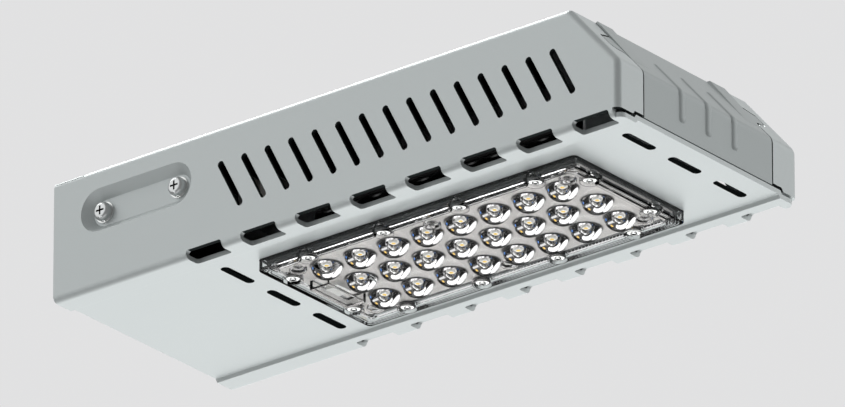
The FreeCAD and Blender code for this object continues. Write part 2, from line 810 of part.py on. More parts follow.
def make_connector():
    dx, dy, dz = connector_size
    return box(inlet_box_x - dx / 2, inlet_box_x + dx / 2, -dy / 2, dy / 2, board_low_z - dz,
               board_low_z)


def make_heat_sink():
    length = module_length - 2
    base = box(module_x - length / 2, module_x + length / 2, -sink_half_width, sink_half_width,
               floor_z, floor_z + sink_base)
    half_window = module_width / 2 - window_margin - 0.5
    reach = module_length / 2 - window_margin - 0.5
    pedestal = rounded_plate(module_x - reach, module_x + reach, -half_window, half_window,
                             board_high_z, floor_z + 0.5, 2.0)
    end_x = module_x + length / 2
    run = end_x - fin_start_x
    first_y = -sink_half_width + fin_side_margin
    pitch = -2 * first_y / (fin_count - 1)
    fins = [box(fin_start_x, end_x, first_y + i * pitch - fin_thickness / 2,
                first_y + i * pitch + fin_thickness / 2, floor_z + sink_base - 0.5,
                floor_z + sink_base + fin_height) for i in range(fin_count)]
    rails = [rod(fin_start_x, s * sink_half_width, floor_z + rail_radius + 0.2, rail_radius, run,
                 V(1, 0, 0)) for s in (-1, 1)]
    sink = fuse([base, pedestal] + fins + rails)
    cuts = [rod(x, y, board_high_z - 1, module_screw_radius + thread_fit, 9)
            for x, y in module_screw_places()]
    cuts += [rod(x, y, board_high_z - 1, board_screw_radius + thread_fit, 6)
             for x, y in board_screw_places()]
    cuts.append(rod(inlet_box_x, 0, board_high_z - 1, lead_radius + gland_wall + thread_fit, 20))
    return sink.cut(Part.makeCompound(cuts))


def make_module_screws():
    down = V(0, 0, -1)
    return Part.makeCompound([screw(x, y, lens_low_z + module_screw_sink_depth, down,
                                    module_screw_radius, module_screw_length,
                                    module_screw_head_radius, module_screw_head_height)
                              for x, y in module_screw_places()])


def make_board_screws():
    down = V(0, 0, -1)
    return Part.makeCompound([screw(x, y, board_low_z, down, board_screw_radius,
                                    board_screw_length, board_screw_head_radius,
                                    board_screw_head_height) for x, y in board_screw_places()])


def make_gland():
    z0 = floor_z + sink_base
    stem = rod(inlet_box_x, 0, z0 - sink_base + 0.3, lead_radius + gland_wall, sink_base)
    collar = prism(hexagon_ring(inlet_box_x, 0, z0, gland_nut_radius), V(0, 0, gland_height / 2))
    dome = Part.makeCone(gland_nut_radius * 0.8, lead_radius + gland_wall / 2, gland_height / 2,
                         V(inlet_box_x, 0, z0 + gland_height / 2))
    gland = fuse([stem, collar, dome])
    return gland.cut(rod(inlet_box_x, 0, z0 - 8, lead_radius + thread_fit, 30))


def tube_along(edges, start, direction):
    ring = Part.Wire(Part.makeCircle(lead_radius, start, direction))
    return Part.Wire(edges).makePipeShell([ring], True, True)


def make_module_lead():
    """The low-voltage lead: out of the driver's end, one large bend, and down into the gland."""
    driver_end = driver_x - driver_size[0] / 2
    z_run = tray_z + tray_thickness + driver_size[2] * 0.55
    r = lead_bend
    k = r * math.sqrt(0.5)
    start = V(driver_end - 0.05, 0, z_run)
    bend_start = V(inlet_box_x + r, 0, z_run)
    centre = V(inlet_box_x + r, 0, z_run - r)
    bend_mid = centre + V(-k, 0, k)
    bend_end = V(inlet_box_x, 0, z_run - r)
    low = V(inlet_box_x, 0, board_high_z + 0.1)
    edges = [Part.LineSegment(start, bend_start).toShape(),
             Part.Arc(bend_start, bend_mid, bend_end).toShape(),
             Part.LineSegment(bend_end, low).toShape()]
    return tube_along(edges, start, V(-1, 0, 0))


def make_supply_lead():
    """The mains lead between the terminal block and the driver, as two equal bends."""
    driver_end = driver_x - driver_size[0] / 2
    block_end = terminal_x + terminal_size[0] / 2
    z = tray_z + tray_thickness + 8.0
    y0, y1 = -16.0, terminal_y
    r = supply_bend
    k = r * math.sqrt(0.5)
    middle_x = (driver_end + block_end) / 2
    start = V(driver_end - 0.05, y0, z)
    a = V(middle_x + r, y0, z)
    b = V(middle_x, y0 - r, z)
    c = V(middle_x, y1 + r, z)
    d = V(middle_x - r, y1, z)
    end = V(block_end + 0.05, y1, z)
    edges = [Part.LineSegment(start, a).toShape(),
             Part.Arc(a, V(middle_x + r - k, y0 - r + k, z), b).toShape(),
             Part.LineSegment(b, c).toShape(),
             Part.Arc(c, V(middle_x - r + k, y1 + r - k, z), d).toShape(),
             Part.LineSegment(d, end).toShape()]
    return tube_along(edges, start, V(-1, 0, 0))


def make_tray():
    y = tray_half_width
    t = tray_thickness
    top = box(tray_rear_x, tray_front_x, -y, y, tray_z, tray_z + t)
    legs = []
    for x0, x1, foot0, foot1 in (
            (tray_rear_x, tray_rear_x + t, tray_rear_x, tray_rear_x + tray_foot),
            (tray_front_x - t, tray_front_x, tray_front_x - tray_foot, tray_front_x)):
        leg_y = y - tray_leg_inset
        legs.append(box(x0, x1, -leg_y, leg_y, floor_z, tray_z + t))
        legs.append(box(foot0, foot1, -leg_y, leg_y, floor_z, floor_z + t))
    tray = fuse([top] + legs)
    cuts = [rod(x, py, floor_z - 1, stud_radius + 0.2, 4) for x, py in tray_foot_places()]
    cuts.append(rod(inlet_box_x, 0, tray_z - 2, tray_lead_hole_radius, 8))
    cuts += [rod(x, py, tray_z - 1, tray_screw_radius + thread_fit, 4)
             for x, py in driver_screw_places() + block_screw_places()]
    return tray.cut(Part.makeCompound(cuts))


def make_tray_nuts():
    nuts = []
    z = floor_z + tray_thickness
    for x, y in tray_foot_places():
        nut = prism(hexagon_ring(x, y, z, nut_radius), V(0, 0, nut_height))
        nuts.append(nut.cut(rod(x, y, z - 1, stud_radius + thread_fit, nut_height + 2)))
    return Part.makeCompound(nuts)


def driver_screw_places():
    return [(driver_x + s * (driver_size[0] / 2 + driver_ear / 2), t * driver_screw_y)
            for s in (-1, 1) for t in (-1, 1)]


def block_screw_places():
    sx, sy, _ = terminal_size
    places = [(terminal_x, terminal_y + s * (sy / 2 - 3)) for s in (-1, 1)]
    dx = surge_size[0] / 2 - 4
    return places + [(surge_x + s * dx, surge_y - surge_size[1] / 2 - surge_foot / 2)
                     for s in (-1, 1)]


def make_driver():
    dx, dy, dz = driver_size
    z0 = tray_z + tray_thickness
    case = box(driver_x - dx / 2, driver_x + dx / 2, -dy / 2, dy / 2, z0, z0 + dz)
    long_edges = [e for e in case.Edges if abs(e.tangentAt(e.FirstParameter).x) > 0.99]
    case = case.makeFillet(driver_corner_radius, long_edges)
    ear_y = driver_ear_width / 2
    ears = box(driver_x - dx / 2 - driver_ear, driver_x + dx / 2 + driver_ear, -ear_y, ear_y, z0,
               z0 + driver_ear_thickness)
    holes = [rod(x, y, z0 - 1, tray_screw_radius + fit, 4) for x, y in driver_screw_places()]
    slot = box(driver_x - dx / 2 - driver_ear - 1, driver_x - dx / 2 - 0.1, -5, 5, z0 - 1, z0 + 3)
    return case.fuse(ears).cut(Part.makeCompound(holes + [slot]))


def tray_screws(places, seat):
    up = V(0, 0, 1)
    return Part.makeCompound([screw(x, y, seat, up, tray_screw_radius, tray_screw_length,
                                    tray_screw_head_radius, tray_screw_head_height)
                              for x, y in places])


def make_terminal_block():
    dx, dy, dz = terminal_size
    z0 = tray_z + tray_thickness
    x, y = terminal_x, terminal_y
    block = box(x - dx / 2, x + dx / 2, y - dy / 2, y + dy / 2, z0, z0 + dz)
    shelf = [box(x + s * dx / 2 - 4, x + s * dx / 2 + 4, y - dy / 2 - 1, y + dy / 2 + 1,
                 z0 + dz - 5, z0 + dz + 1) for s in (-1, 1)]
    block = block.cut(Part.makeCompound(shelf))
    ways = [rod(x, y + k * dy / 4, z0 + dz - 6, 2.4, 8) for k in (-1, 0, 1)]
    w = terminal_pocket / 2
    ends = [box(x - w, x + w, py - w, py + w, z0 + terminal_floor, z0 + dz + 1)
            for px, py in block_screw_places()[:2]]
    holes = [rod(px, py, z0 - 1, tray_screw_radius + fit, 8) for px, py in block_screw_places()[:2]]
    return block.cut(Part.makeCompound(ways + ends + holes))


def make_surge_protector():
    dx, dy, dz = surge_size
    z0 = tray_z + tray_thickness
    case = box(surge_x - dx / 2, surge_x + dx / 2, surge_y - dy / 2, surge_y + dy / 2, z0, z0 + dz)
    top = [e for e in case.Edges if abs(e.tangentAt(e.FirstParameter).x) > 0.99
           and e.Vertexes[0].Z > z0 + 1]
    case = case.makeFillet(2.5, top)
    foot = box(surge_x - dx / 2, surge_x + dx / 2, surge_y - dy / 2 - surge_foot, surge_y, z0,
               z0 + surge_foot_thickness)
    holes = [rod(x, y, z0 - 1, tray_screw_radius + fit, 4) for x, y in block_screw_places()[2:]]
    return case.fuse(foot).cut(Part.makeCompound(holes))


def build():
    up = V(0, 0, 1)
    tray_top = tray_z + tray_thickness
    lid_top = body_height + lid_gasket_thickness + lid_thickness
    small_head = (cap_screw_head_radius, cap_screw_head_height)
    return {
        "housing": make_housing(),
        "nose_cap": make_nose_cap(),
        "nose_cap_screws": Part.makeCompound([screw(x, y, body_height, up, lid_screw_radius,
                                                    nose_cap_screw_length, *small_head)
                                              for x, y in cap_screw_places()]),
        "rear_cap": make_rear_cap(),
        "rear_cap_screws": Part.makeCompound([screw(rear_cap_recess, y, z, V(-1, 0, 0),
                                                    rear_screw_radius, rear_screw_length,
                                                    *small_head)
                                              for y, z in rear_screw_places()]),
        "entry_seal": make_entry_seal(),
        "arm_sleeve": make_arm_sleeve(),
        "sleeve_set_screws": make_set_screws(),
        "side_screws": Part.makeCompound([pan_head_screw(x, side) for x, side in side_screw_places()]),
        "side_washers": make_side_washers(),
        "top_lid": make_lid(),
        "lid_gasket": make_lid_gasket(),
        "lid_screws": Part.makeCompound([screw(x, y, lid_top, up, lid_screw_radius,
                                               lid_screw_length, *small_head)
                                         for x, y in lid_screw_places()]),
        "module_heat_sink": make_heat_sink(),
        "module_board": make_board(),
        "led_chips": make_leds(),
        "board_connector": make_connector(),
        "lens_plate": make_lens_plate(),
        "module_seal": make_module_seal(),
        "module_screws": make_module_screws(),
        "board_screws": make_board_screws(),
        "lead_gland": make_gland(),
        "module_lead": make_module_lead(),
        "supply_lead": make_supply_lead(),
        "gear_tray": make_tray(),
        "tray_nuts": make_tray_nuts(),
        "driver": make_driver(),
        "driver_screws": tray_screws(driver_screw_places(), tray_top + driver_ear_thickness),
        "terminal_block": make_terminal_block(),
        "surge_protector": make_surge_protector(),
        "block_screws": Part.makeCompound([
            tray_screws(block_screw_places()[:2], tray_top + terminal_floor),
            tray_screws(block_screw_places()[2:], tray_top + surge_foot_thickness)]),
    }


os.makedirs("parts", exist_ok=True)
for name, shape in build().items():
    placed = shape.copy()
    placed.translate(V(0, 0, -arm_axis_z))
    placed.exportStep(f"parts/{name}.step")
    box_of = placed.BoundBox
    print(f"{name}: {len(placed.Solids)} solids, {placed.Volume:.0f} mm3, valid {placed.isValid()}, "
          f"{box_of.XLength:.1f} x {box_of.YLength:.1f} x {box_of.ZLength:.1f} mm")
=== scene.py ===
# %% [markdown]
# # The looks of an LED street light head
#
# The head is a folded aluminium housing on a pole-arm sleeve. Below it hangs one clear lens module.
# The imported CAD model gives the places. Every piece here is built around that frame, in metres,
# with X from the pole end to the nose, Y across and Z up.

import bmesh
import bpy
import json
import math
from mathutils import Matrix, Vector
from mathutils.bvhtree import BVHTree

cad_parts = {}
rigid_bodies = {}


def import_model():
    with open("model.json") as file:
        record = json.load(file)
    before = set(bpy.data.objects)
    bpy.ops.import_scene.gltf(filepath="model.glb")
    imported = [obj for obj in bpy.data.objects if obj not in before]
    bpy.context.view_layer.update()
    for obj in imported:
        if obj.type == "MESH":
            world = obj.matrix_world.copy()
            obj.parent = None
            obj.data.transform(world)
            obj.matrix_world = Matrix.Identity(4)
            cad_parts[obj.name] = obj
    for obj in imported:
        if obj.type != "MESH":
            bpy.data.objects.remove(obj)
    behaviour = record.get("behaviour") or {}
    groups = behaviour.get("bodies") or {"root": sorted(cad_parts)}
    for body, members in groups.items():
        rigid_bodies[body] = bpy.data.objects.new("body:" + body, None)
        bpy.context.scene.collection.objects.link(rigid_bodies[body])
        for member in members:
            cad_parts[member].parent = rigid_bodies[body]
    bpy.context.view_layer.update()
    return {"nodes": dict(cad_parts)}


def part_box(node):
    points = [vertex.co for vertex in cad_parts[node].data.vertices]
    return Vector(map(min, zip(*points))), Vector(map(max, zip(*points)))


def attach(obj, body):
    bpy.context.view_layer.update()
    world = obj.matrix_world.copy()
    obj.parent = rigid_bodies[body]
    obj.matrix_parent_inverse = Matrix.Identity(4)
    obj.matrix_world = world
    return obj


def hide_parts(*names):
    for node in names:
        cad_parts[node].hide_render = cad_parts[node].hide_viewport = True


for leftover in list(bpy.data.objects):
    bpy.data.objects.remove(leftover)
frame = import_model()
cad = frame["nodes"]
MM = 0.001

# %% [markdown]
# ## Camera
#
# The photograph was taken from far away, below the head and in front of it, so parallel edges
# stay nearly parallel. A long lens at a long distance gives that. The camera could be turned by hand.
# Here a direction, a distance and an aim point say the same thing in three values.

# %% Camera
view_azimuth = math.radians(38.964)
view_elevation = math.radians(-24.324)
view_distance = 9.109
view_aim = Vector((0.20985, -0.001, -0.00597))
to_camera = Vector((math.sin(view_azimuth) * math.cos(view_elevation),
                    -math.cos(view_azimuth) * math.cos(view_elevation),
                    math.sin(view_elevation)))
camera_data = bpy.data.cameras.new("camera")
camera_data.lens = 671.4
camera_data.sensor_width = 36.0
camera_data.sensor_fit = "HORIZONTAL"
camera_data.clip_end = 60.0
camera = bpy.data.objects.new("camera", camera_data)
camera.location = view_aim + to_camera * view_distance
camera.rotation_mode = "QUATERNION"
camera.rotation_quaternion = (-to_camera).to_track_quat("-Z", "Y")
bpy.context.scene.collection.objects.link(camera)
bpy.context.scene.camera = camera
print("camera at", [round(c, 3) for c in camera.location])

# %% [markdown]
# ## Shader maths as Python
#
# A shader is a graph of nodes. Wiring each Math node by name is slow to read, so one small class
# wraps a socket and lets `1 - mask * 0.5` add the nodes itself. Every other node comes from one
# method that sets a node's settings first and then its sockets.

# %% Shader helper
class Field:
    """A shader socket that can be used in a sum like a number."""

    def __init__(self, paint, socket):
        self.paint = paint
        self.socket = socket

    def maths(self, operation, *values):
        return self.paint.node("ShaderNodeMath", {"operation": operation}, dict(enumerate(values)))

    def __add__(self, other):
        return self.maths("ADD", self, other)

    def __sub__(self, other):
        return self.maths("SUBTRACT", self, other)

    def __rsub__(self, other):
        return self.maths("SUBTRACT", other, self)

    def __mul__(self, other):
        return self.maths("MULTIPLY", self, other)

    __radd__ = __add__
    __rmul__ = __mul__

    def smooth(self, low, high):
        """0 below low, 1 above high, and a soft step between."""
        return self.paint.node("ShaderNodeMapRange", {"interpolation_type": "SMOOTHSTEP"},
                               {"Value": self, "From Min": low, "From Max": high})


class Paint:
    """Builds the nodes of one material or of the world."""

    def __init__(self, owner):
        self.owner = owner
        owner.use_nodes = True
        self.tree = owner.node_tree
        self.tree.nodes.clear()

    def node(self, kind, settings=None, values=None, output=0):
        made = self.tree.nodes.new(kind)
        for name, value in (settings or {}).items():
            setattr(made, name, value)
        for name, value in (values or {}).items():
            if isinstance(value, Field):
                self.tree.links.new(value.socket, made.inputs[name])
            else:
                made.inputs[name].default_value = value
        return Field(self, made.outputs[output]) if made.outputs else made

    def place(self):
        return self.node("ShaderNodeTexCoord", output="Object")

    def noise(self, scale, detail=2.0, where=None):
        return self.node("ShaderNodeTexNoise", None,
                         {"Vector": where or self.place(), "Scale": scale, "Detail": detail})

    def mix_colour(self, factor, a, b):
        return self.node("ShaderNodeMix", {"data_type": "RGBA"}, {0: factor, 6: a, 7: b}, 2)

    def bump(self, height, distance, strength=1.0):
        return self.node("ShaderNodeBump", None,
                         {"Height": height, "Distance": distance, "Strength": strength})

    def surface(self, **values):
        named = {name.replace("_", " "): value for name, value in values.items()}
        shader = self.node("ShaderNodeBsdfPrincipled", None, named)
        self.node("ShaderNodeOutputMaterial", None, {"Surface": shader})
        return self.owner


def new_paint(name):
    return Paint(bpy.data.materials.new(name))


print("shader helper ready")

# %% [markdown]
# ## Studio
#
# A satin face is bright where its mirror image of the camera's line meets a light. So each soft
# light is placed by the face that it has to brighten, and the directions between stay dark: that
# darkness draws the folds. Lamps could do this, but they would stand in front of other cameras.
# The world can hold soft lights that surround the head and hide from every view.

# %% Lights in the world
def mirror(normal):
    """The direction that a face with this normal mirrors towards the camera."""
    n = Vector(normal).normalized()
    return (n * (2 * n.dot(to_camera)) - to_camera).normalized()


world = bpy.data.worlds.new("studio")
bpy.context.scene.world = world
studio = Paint(world)
looking = studio.node("ShaderNodeTexCoord", output="Generated")


def soft_light(direction, inner, outer, strength):
    """A round light: full inside the inner angle, in degrees, and gone outside the outer one."""
    cosine = studio.node("ShaderNodeVectorMath", {"operation": "DOT_PRODUCT"},
                         {0: looking, 1: direction}, "Value")
    return cosine.smooth(math.cos(math.radians(outer)), math.cos(math.radians(inner))) * strength


slope_normal = (0.762, 0.0, 0.648)
glow = soft_light(mirror((0, -1, 0)), 25, 40, 0.89)
glow = glow + soft_light(mirror((0, 0, -1)), 25, 45, 1.66)
glow = glow + soft_light(mirror((1, 0, 0)), 20, 40, 1.0)
glow = glow + soft_light(mirror(slope_normal), 10, 30, 0.55)
glow = glow + soft_light(mirror((0, -0.85, 0.53)), 15, 20, 6.5)
glow = glow + soft_light(mirror((0, -0.9, -0.44)), 3, 5, 14.0)
glow = glow + soft_light(Vector((0, 0, -1)), 30, 60, 0.5) + 0.28
left_plastic = studio.node("ShaderNodeLightPath", output="Is Transmission Ray")
glow = glow * (left_plastic * 0.95 + 1)
lights = studio.node("ShaderNodeBackground", None, {"Color": (0.985, 1.0, 1.0, 1), "Strength": glow})
backdrop = studio.node("ShaderNodeBackground", None, {"Color": (0.755, 0.755, 0.76, 1), "Strength": 1.0})
print("studio lights follow the camera's mirror directions, such as",
      [round(c, 2) for c in mirror((0, 0, -1))], "for the bottom")

# %% [markdown]
# ## Light that is seen through the lenses
#
# Clear plastic looks like clear plastic when it bends hard edges of black and white. The soft lights
# above have no edges. So a ray that has met nothing but the plastic sees another world: black, with
# bright round panels, a strip, a warm spot and a blue glint. Their directions come from a test that
# showed where rays leave a dome.

# %% Panels behind the lenses
def hard_panel(direction, angle, strength):
    return soft_light(Vector(direction).normalized(), angle, angle + 1, strength)


def hard_strip(axis, width, panel):
    """The part of a panel that lies within a narrow belt at right angles to the axis."""
    height = studio.node("ShaderNodeVectorMath", {"operation": "DOT_PRODUCT"},
                         {0: looking, 1: Vector(axis).normalized()}, "Value")
    return (1 - height.maths("ABSOLUTE", height).smooth(width, width + 0.02)) * panel


panels = hard_panel((-0.38, 0.38, -0.84), 14, 1.4)
panels = panels + hard_panel((-0.62, 0.43, -0.66), 9, 1.4)
panels = panels + hard_panel((-0.71, -0.22, -0.67), 26, 1.4)
panels = panels + hard_strip((0.09, 0.495, 0.585), 0.05, hard_panel((-0.3, 0.75, -0.6), 31, 0.8)) + 0.02
warm = hard_panel((0.02, 0.62, -0.78), 4.5, 1.0)
blue = hard_panel((0.28, 0.85, -0.44), 4, 1.0)
tint = studio.mix_colour(warm, (1, 1, 1, 1), (1.0, 0.60, 0.08, 1))
tint = studio.mix_colour(blue, tint, (0.1, 0.35, 1.0, 1))
behind_lens = studio.node("ShaderNodeBackground", None, {"Color": tint, "Strength": panels + warm + blue})
sharp_path = studio.node("ShaderNodeLightPath", output="Is Singular Ray")
met_matt = studio.node("ShaderNodeLightPath", output="Diffuse Depth")
by_camera = studio.node("ShaderNodeLightPath", output="Is Camera Ray")
sky = studio.node("ShaderNodeMixShader", None,
                  {0: sharp_path * (1 - met_matt.smooth(0, 1)), 1: lights, 2: behind_lens})
sky = studio.node("ShaderNodeMixShader", None, {0: by_camera, 1: sky, 2: backdrop})
studio.node("ShaderNodeOutputWorld", None, {"Surface": sky})
bpy.context.scene.view_settings.view_transform = "Standard"
print("panels behind the lenses ready")

# %% [markdown]
# ## Floor
#
# The head hangs on a pole, and the photograph looks up at it from below. The floor is a plain pale
# sheet that lies far enough down that no camera under the head is cut off by it.

# %% Floor
floor_depth = 19.5
floor_size = 60.0
floor_mesh = bmesh.new()
bmesh.ops.create_grid(floor_mesh, x_segments=1, y_segments=1, size=floor_size,
                      matrix=Matrix.Translation((0, 0, -floor_depth)))
floor_data = bpy.data.meshes.new("floor")
floor_mesh.to_mesh(floor_data)
floor_mesh.free()
floor = bpy.data.objects.new("floor", floor_data)
bpy.context.scene.collection.objects.link(floor)
floor_paint = new_paint("pale_floor")
floor_data.materials.append(floor_paint.surface(Base_Color=(0.6, 0.6, 0.6, 1), Roughness=0.9))
floor.visible_diffuse = False
floor.visible_glossy = False
floor.visible_transmission = False
print("floor", floor_depth, "m below the arm's axis")

# %% [markdown]
# ## Finishes
#
# Most finishes are what the real piece has: powder coat, cast and anodised aluminium, stainless
# steel, clear plastic. Three carry painted shade: the housing's inside, the screws' sockets, and
# the dark rings and long edges on the board. The grain of a powder coat is fine, under a
# millimetre, so it is a bump and a slight change of colour on Object coordinates, which stay
# fixed to the piece.

# %% Lamp grid
lamp_pitch, row_pitch, middle_shift = 24.86 * MM, 26.5 * MM, 4.4 * MM
board_low, board_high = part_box("module_board")
grid_x = 246.3 * MM + lamp_pitch / 2
print("board", [round((high - low) / MM, 1) for low, high in zip(board_low, board_high)], "mm")

# %% Finishes
def coat(name, colour, roughness=0.42, metallic=0.3, grain=0.5 * MM, depth=0.02 * MM, change=0.05):
    """A satin coat with a fine grain in its colour, its gloss and its surface."""
    paint = new_paint(name)
    speck = paint.noise(1 / grain)
    cloud = paint.noise(18.0)
    darker = tuple(c * (1 - change) for c in colour) + (1,)
    lighter = tuple(min(1.0, c * (1 + change)) for c in colour) + (1,)
    tone = paint.mix_colour(speck * 0.7 + cloud * 0.3, darker, lighter)
    return paint.surface(Base_Color=tone, Metallic=metallic,
                         Roughness=speck * 0.08 + (roughness - 0.04),
                         Normal=paint.bump(speck, depth))


def brushed(name, colour, roughness, stretch=(400.0, 60.0, 60.0)):
    """Bare metal with faint drawn lines."""
    paint = new_paint(name)
    where = paint.node("ShaderNodeMapping", None, {"Vector": paint.place(), "Scale": stretch})
    lines = paint.noise(10.0, 3.0, where)
    return paint.surface(Base_Color=paint.mix_colour(lines, tuple(c * 0.9 for c in colour) + (1,),
                                                     colour + (1,)),
                         Metallic=1.0, Roughness=lines * 0.12 + (roughness - 0.06),
                         Normal=paint.bump(lines, 0.01 * MM))


def plastic(name, colour, roughness=0.45, grain=0.8 * MM):
    paint = new_paint(name)
    speck = paint.noise(1 / grain)
    return paint.surface(Base_Color=paint.mix_colour(speck, tuple(c * 0.93 for c in colour) + (1,),
                                                     colour + (1,)),
                         Roughness=speck * 0.1 + (roughness - 0.05),
                         Normal=paint.bump(speck, 0.01 * MM))


def shade(name, colour):
    """Painted shade: a matt dark face that shows no gloss, for the walls of a narrow opening or socket,
    where shade falls.
    """
    return new_paint(name).surface(Base_Color=colour, Roughness=0.9, Specular_IOR_Level=0.1)


def mask_with_painted_shade(name, pale, dark):
    """A board's pale mask with painted shade: dark along its long edges and in a ring under the rim of
    each dome, standing for the shade that the clear domes and border show.
    """
    paint = new_paint(name)
    parts = [paint.node("ShaderNodeSeparateXYZ", None, {0: paint.place()}, axis) for axis in range(3)]
    side = parts[1].maths("ABSOLUTE", parts[1])
    in_middle = 1 - side.smooth(row_pitch / 2 - 0.1 * MM, row_pitch / 2 + 0.1 * MM)
    along = parts[0] - (in_middle * middle_shift + grid_x)
    near_lamp = along.maths("WRAP", along, lamp_pitch / 2, -lamp_pitch / 2)
    across = side.maths("WRAP", side, row_pitch / 2, -row_pitch / 2)
    reach = near_lamp.maths("SQRT", near_lamp * near_lamp + across * across)
    ends = along.maths("ABSOLUTE", along + lamp_pitch / 2)
    # painted shade: a dark ring under the rim of each dome
    ring = reach.smooth(4.6 * MM, 5.4 * MM) * (1 - reach.smooth(9.0 * MM, 10.8 * MM))
    ring = ring * (1 - ends.smooth(4 * lamp_pitch, 4 * lamp_pitch + 0.1 * MM))
    ring = ring * (1 - side.smooth(1.5 * row_pitch - 0.1 * MM, 1.5 * row_pitch))
    # painted shade along the long edges, under the plate's border
    edge_y = board_high.y - 3.4 * MM
    ring = ring.maths("MAXIMUM", ring, side.smooth(edge_y, edge_y + 0.3 * MM))
    return paint.surface(Base_Color=paint.mix_colour(ring, pale, dark), Roughness=0.4)


def clear(name, tint=(1.0, 1.0, 1.0), roughness=0.0):
    paint = new_paint(name)
    speck = paint.noise(300.0)
    return paint.surface(Base_Color=paint.mix_colour(speck, tuple(c * 0.985 for c in tint) + (1,),
                                                     tint + (1,)),
                         Transmission_Weight=1.0, Roughness=roughness, IOR=1.49)


finish = {
    "housing_paint": coat("housing_paint", (0.60, 0.635, 0.635)),
    # painted shade for the housing's inside and for the screws' sockets
    "housing_painted_shade": shade("housing_painted_shade", (0.02, 0.026, 0.026, 1)),
    "socket_painted_shade": shade("socket_painted_shade", (0.01, 0.01, 0.01, 1)),
    "cap_paint": coat("cap_paint", (0.44, 0.47, 0.47)),
    "lid_paint": coat("lid_paint", (0.50, 0.53, 0.53)),
    "cast_aluminium": coat("cast_aluminium", (0.52, 0.53, 0.54), metallic=0.9, roughness=0.5,
                           grain=1.2 * MM, depth=0.06 * MM),
    "stainless": brushed("stainless", (0.80, 0.80, 0.79), 0.22),
    "dull_stainless": brushed("dull_stainless", (0.64, 0.65, 0.65), 0.32),
    "zinc_steel": brushed("zinc_steel", (0.70, 0.71, 0.72), 0.34),
    "black_anodised": coat("black_anodised", (0.012, 0.012, 0.013), metallic=0.0, roughness=0.45,
                           depth=0.003 * MM),
    "gloss_black": coat("gloss_black", (0.01, 0.01, 0.01), metallic=0.0, roughness=0.14,
                        depth=0.002 * MM),
    "board_mask": mask_with_painted_shade("board_mask", (0.80, 0.77, 0.75, 1), (0.02, 0.02, 0.02, 1)),
    "phosphor": plastic("phosphor", (0.98, 0.62, 0.07), 0.35),
    "lamp_ceramic": plastic("lamp_ceramic", (0.88, 0.88, 0.86), 0.4),
    "connector_nylon": plastic("connector_nylon", (0.82, 0.82, 0.80), 0.4),
    "clear_optic": clear("clear_optic"),
    "seal_rubber": plastic("seal_rubber", (0.02, 0.02, 0.02), 0.6),
    "gland_nylon": plastic("gland_nylon", (0.05, 0.05, 0.05), 0.45),
    "lead_jacket": plastic("lead_jacket", (0.03, 0.03, 0.03), 0.5),
    "driver_case": coat("driver_case", (0.56, 0.57, 0.58), metallic=0.7, roughness=0.4),
    "terminal_nylon": plastic("terminal_nylon", (0.75, 0.74, 0.70), 0.45),
    "surge_case": plastic("surge_case", (0.05, 0.06, 0.07), 0.4),
}
print("finishes:", ", ".join(finish))

# %% [markdown]
# ## Dressed copies of folded and cast pieces
#
# The CAD mesh is loose flat triangles, so its rounded folds would show as facets, and its edges are
# perfectly sharp, which no real sheet is. A copy is merged, its flat faces are joined, and a narrow
# bevel catches the light along each edge. Weighted normals keep the large faces flat.

# %% Dressing helper
slots_low = Vector((115.0, 0.0, -18.0)) * MM
slots_high = Vector((400.0, 0.0, 18.0)) * MM


def shown(name, mesh, nodes, edge=0.0, sharp=38.0):
    """Makes the piece's object, smooth up to the sharp angle, on the one body of the head."""
    piece = bpy.data.objects.new(name, mesh)
    bpy.context.scene.collection.objects.link(piece)
    for face in mesh.polygons:
        face.use_smooth = True
    mesh.set_sharp_from_angle(angle=math.radians(sharp))
    if edge:
        bevel = piece.modifiers.new("eased_edges", "BEVEL")
        bevel.width = edge
        bevel.segments = 2
        bevel.limit_method = "ANGLE"
        bevel.angle_limit = math.radians(sharp)
        bevel.harden_normals = False
        weights = piece.modifiers.new("weights", "WEIGHTED_NORMAL")
        weights.keep_sharp = False
    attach(piece, "root")
    if nodes:
        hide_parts(*nodes)
    return piece


def merged(node):
    """A bmesh of a CAD node with its corners merged and its flat faces joined."""
    bm = bmesh.new()
    bm.from_mesh(cad[node].data)
    bmesh.ops.remove_doubles(bm, verts=bm.verts, dist=0.002 * MM)
    bmesh.ops.dissolve_limit(bm, angle_limit=math.radians(0.2), verts=bm.verts, edges=bm.edges,
                             use_dissolve_boundaries=False)
    return bm


def paint_shade_inside(bm):
    """Gives the second material, painted shade, to faces that look at the piece itself and to low cut
    edges, where shade falls.
    """
    tree = BVHTree.FromBMesh(bm)
    low = min(vert.co.z for vert in bm.verts)
    far = max(vert.co.y for vert in bm.verts) - 12 * MM
    inner = 0
    for face in bm.faces:
        centre = face.calc_center_median()
        start = centre + face.normal * 0.05 * MM
        cut_edge = face.normal.z < -0.9 and centre.z > low + 3 * MM
        lit_end = face.normal.x > 0.3 and centre.z < low + 12 * MM and centre.y < -far
        # painted shade is left off the far side's inner faces and the lit left ends of the bend openings;
        # near cut walls facing -Y get it
        if centre.y > far or lit_end:
            continue
        cut_edge = cut_edge or (face.normal.y < -0.9 and -far < centre.y < -0.8 * far)
        if cut_edge or tree.ray_cast(start, face.normal)[0] is not None:
            face.material_index = 1
            inner += 1
    return inner


def widen_slots(bm, ease):
    """Eases the walls of the slots in both sides outwards, as a coat's shadow line does."""
    shifts = {}
    side = max(vert.co.y for vert in bm.verts)
    for face in bm.faces:
        centre = face.calc_center_median()
        in_side = side - 3.5 * MM < abs(centre.y) < side and abs(face.normal.y) < 0.1
        if in_side and slots_low.x < centre.x < slots_high.x and slots_low.z < centre.z < slots_high.z:
            for vert in face.verts:
                shifts.setdefault(vert, Vector()).__iadd__(face.normal)
    for vert, normal in shifts.items():
        vert.co -= normal.normalized() * ease
    return len(shifts)


